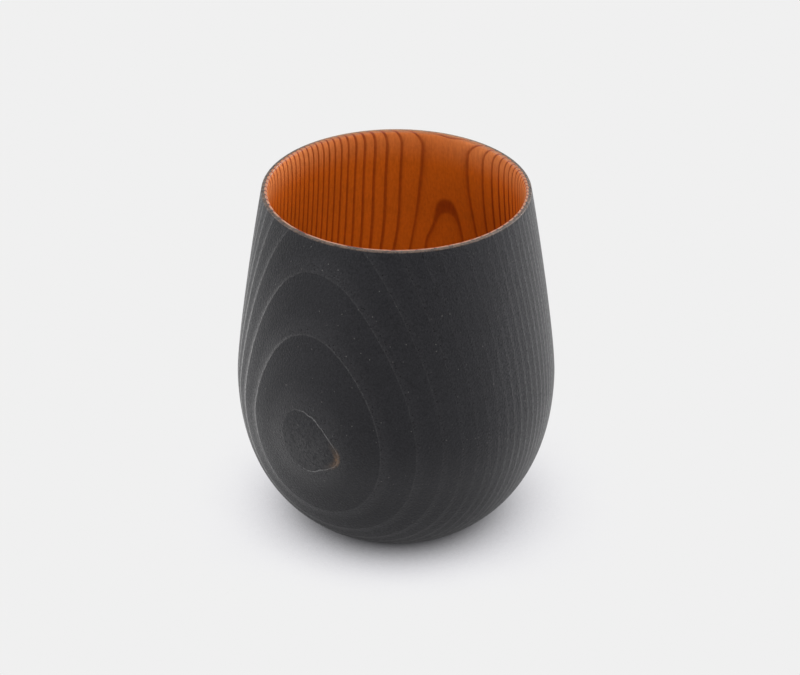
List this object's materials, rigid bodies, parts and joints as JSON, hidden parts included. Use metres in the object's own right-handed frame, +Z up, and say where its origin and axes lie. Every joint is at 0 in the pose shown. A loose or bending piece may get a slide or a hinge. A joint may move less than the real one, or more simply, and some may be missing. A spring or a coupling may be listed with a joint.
{
  "type": "cup",
  "caption": "Turned wooden cup with a round belly, a narrower mouth, a thin lip and a small foot, coated matt black outside and lined with clear amber lacquer; it holds a drink.",
  "frame": {"origin": "centre of the foot ring, on the surface that the cup stands on", "axes": "+Z up along the axis that the cup was turned on; -Y towards the camera of the picture"},
  "size_m": [0.082, 0.082, 0.093],
  "materials": {
    "bare_wood": "matte",
    "black_coat": "matte",
    "amber_lacquer": "satin"
  },
  "bodies": {
    "root": {"wood_body": "bare_wood", "black_outer_coat": "black_coat", "amber_inner_lacquer": "amber_lacquer"}
  },
  "joints": []
}
